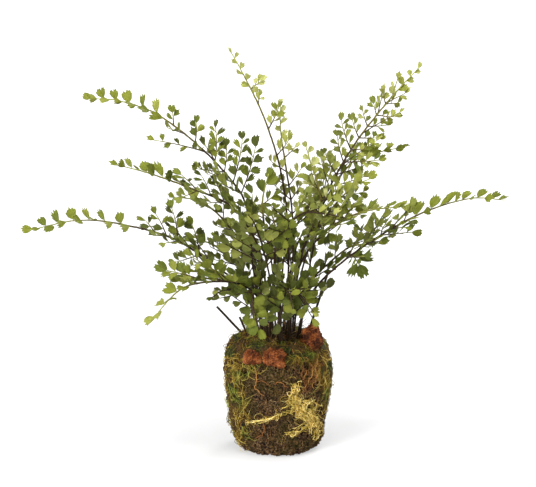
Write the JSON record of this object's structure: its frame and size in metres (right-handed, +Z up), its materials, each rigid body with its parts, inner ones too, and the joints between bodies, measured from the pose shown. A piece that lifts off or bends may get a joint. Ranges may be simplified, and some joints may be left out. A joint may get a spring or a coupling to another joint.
{
  "type": "maidenhair fern in a mossed root ball",
  "caption": "Delicate maidenhair fern with dark wiry stems and fan-shaped leaflets, standing in a bare, mossy peat root ball.",
  "frame": {"origin": "centre of the flat underside of the root ball", "axes": "+Z up, -Y towards the front, +X to the right seen from the front"},
  "size_m": [0.4758, 0.2364, 0.406],
  "materials": {
    "peat": "matte",
    "moss": "matte",
    "pale_moss": "matte",
    "bark": "matte",
    "stem": "satin",
    "leaf": "satin"
  },
  "bodies": {
    "root": {"root_ball": "peat", "moss_green": "moss", "moss_pale": "pale_moss", "chunk_left": "bark", "chunk_middle": "bark", "chunk_right": "bark", "stub_left_long": "stem", "stub_left_short": "stem", "stub_left_tall": "stem", "stub_right": "stem", "stub_front": "stem", "stub_middle": "stem", "frond_left_high": "leaf", "frond_left_middle": "leaf", "frond_left_far": "leaf", "frond_left_low": "leaf", "frond_top": "leaf", "frond_top_right": "leaf", "frond_right_far": "leaf", "frond_front_right": "leaf", "frond_front": "leaf", "frond_front_low_left": "leaf", "frond_front_low_right": "leaf", "frond_front_small_left": "leaf", "frond_front_small_middle": "leaf", "frond_front_level": "leaf", "frond_pale": "leaf", "frond_short_middle": "leaf", "frond_short_left": "leaf", "frond_left_inner": "leaf", "frond_right_inner": "leaf", "frond_right_upper": "leaf", "frond_back_left": "leaf", "frond_back_inner_left": "leaf", "frond_back": "leaf", "frond_back_inner_right": "leaf", "frond_back_right": "leaf"}
  },
  "joints": []
}
